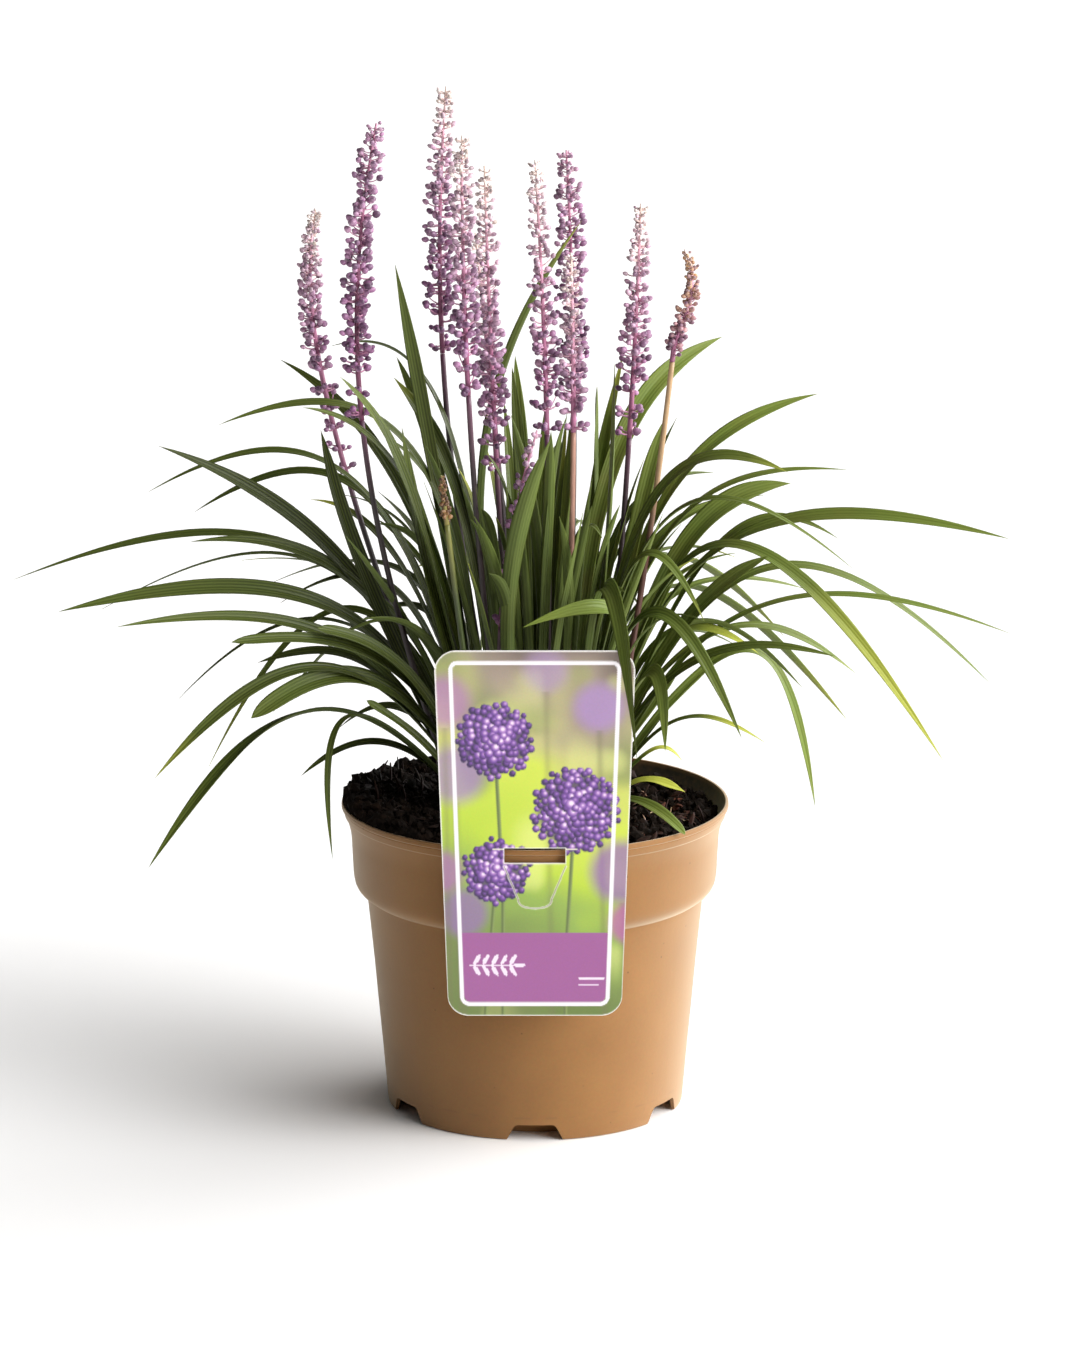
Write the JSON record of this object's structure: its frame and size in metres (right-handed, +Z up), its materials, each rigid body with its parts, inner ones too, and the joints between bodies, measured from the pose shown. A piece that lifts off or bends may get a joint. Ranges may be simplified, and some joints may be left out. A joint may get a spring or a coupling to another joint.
{
  "type": "potted flowering plant",
  "caption": "Potted lilyturf with arching strap leaves and upright violet flower spikes, in a plastic nursery pot with a hanging plant label.",
  "frame": {"origin": "centre of the pot's flat bottom, on the surface it stands on", "axes": "+Z up along the pot's axis; the label faces -Y; +X to the right seen from the label's side"},
  "size_m": [0.386, 0.2528, 0.393],
  "materials": {
    "pot": "satin moulded polypropylene, warm taupe",
    "peat": "dry, crumbly and dull, near black with bark fibres",
    "label_card": null,
    "leaf": "waxy, finely ribbed along its length, dark green",
    "dark_stalk": "smooth, dull, plum brown",
    "tan_stalk": "smooth, dull, tan",
    "faded_stalk": "smooth, dull, olive green",
    "blossom": "matt, violet buds with pale tips",
    "faded_spike": "dry, matt, brown"
  },
  "bodies": {
    "root": {"pot": "pot", "soil": "peat", "label": "label_card", "tuft_right": "leaf", "tuft_back_right": "leaf", "tuft_back": "leaf", "tuft_back_left": "leaf", "tuft_left": "leaf", "tuft_front_left": "leaf", "tuft_front": "leaf", "tuft_front_right": "leaf", "stalk_01": "dark_stalk", "spike_01": "blossom", "stalk_02": "dark_stalk", "spike_02": "blossom", "stalk_03": "dark_stalk", "spike_03": "blossom", "stalk_04": "dark_stalk", "spike_04": "blossom", "stalk_05": "dark_stalk", "spike_05": "blossom", "stalk_06": "dark_stalk", "spike_06": "blossom", "stalk_07": "dark_stalk", "spike_07": "blossom", "stalk_08": "dark_stalk", "spike_08": "blossom", "stalk_09": "dark_stalk", "spike_09": "blossom", "stalk_10": "dark_stalk", "spike_10": "blossom", "stalk_11": "dark_stalk", "spike_11": "blossom", "stalk_12": "tan_stalk", "spike_12": "blossom", "stalk_faded": "faded_stalk", "spike_faded": "faded_spike"}
  },
  "joints": []
}
